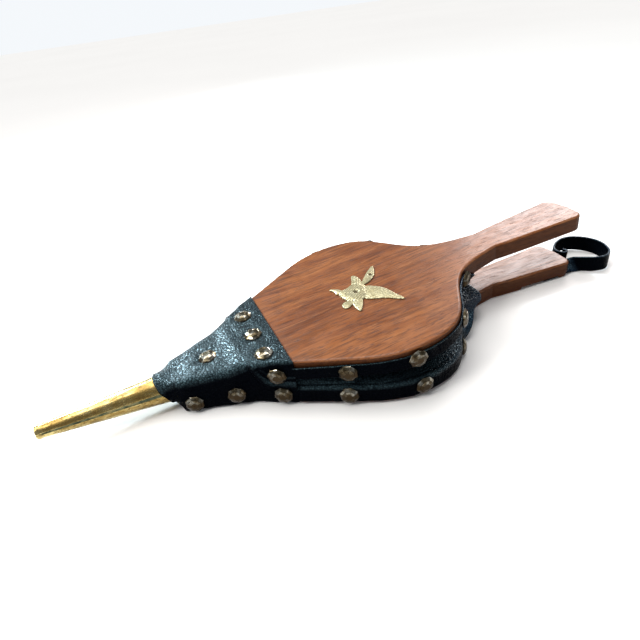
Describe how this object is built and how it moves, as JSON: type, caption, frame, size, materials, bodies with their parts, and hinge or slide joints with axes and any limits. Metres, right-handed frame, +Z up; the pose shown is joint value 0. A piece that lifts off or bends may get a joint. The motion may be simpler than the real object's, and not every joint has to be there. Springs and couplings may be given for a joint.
{
  "type": "hand bellows",
  "caption": "Fireplace hand bellows: two hinged wooden boards joined by a folded leather gusset, a tapered brass nozzle, domed studs, a flying-bird plate and a hanging strap.",
  "frame": {"origin": "bottom centre of the whole bellows at rest, nozzle and strap included, on the plane of the lower board's underside", "axes": "+X from the nozzle to the handles, +Z up, out of the upper board; Y is the hinge's direction"},
  "size_m": [0.525, 0.1864, 0.0619],
  "materials": {
    "mahogany": "satin varnish",
    "black_leather": "grained, semi-gloss",
    "inner_leather": "plain tanned, matt",
    "brass": "scratched satin",
    "antique_brass": "faceted, darkened in the hollows",
    "pale_brass": "stamped, bright",
    "steel": "plain wire nail"
  },
  "bodies": {
    "lower_half": {"lower_board": "mahogany", "nose_block": "mahogany", "nozzle": "brass", "nozzle_pins": "steel", "block_screws": "steel", "nose_wrap": "black_leather", "wrap_seam_tacks": "steel", "gusset_leather": "black_leather", "gusset_tacks_lower": "steel", "hinge_strip": "inner_leather", "hinge_tacks_block": "steel", "valve_tab": "inner_leather", "valve_tacks": "steel", "valve_keeper": "inner_leather", "keeper_tacks": "steel", "strap": "black_leather", "strap_nails": "steel", "lower_edge_studs": "antique_brass", "wrap_lower_studs": "antique_brass", "nose_block_studs": "antique_brass"},
    "upper_half": {"upper_board": "mahogany", "hinge_tacks_board": "steel", "ornament": "pale_brass", "ornament_pins": "pale_brass", "upper_edge_studs": "antique_brass", "wrap_upper_studs": "antique_brass", "wrap_top_studs": "antique_brass", "gusset_tacks_upper": "steel"},
    "valve": {"valve_flap": "inner_leather"}
  },
  "joints": [
    {"name": "bellows_hinge", "type": "hinge", "parent": "lower_half", "child": "upper_half", "pos_m": [-0.1095, 0, 0.0334], "axis": [0, -1, 0], "range_deg": [-3.4, 16], "deforming": ["gusset_leather", "nose_wrap", "hinge_strip"]},
    {"name": "valve_lift", "type": "hinge", "parent": "lower_half", "child": "valve", "pos_m": [-0.0315, 0, 0.0151], "axis": [0, -1, 0], "range_deg": [0, 6]}
  ]
}
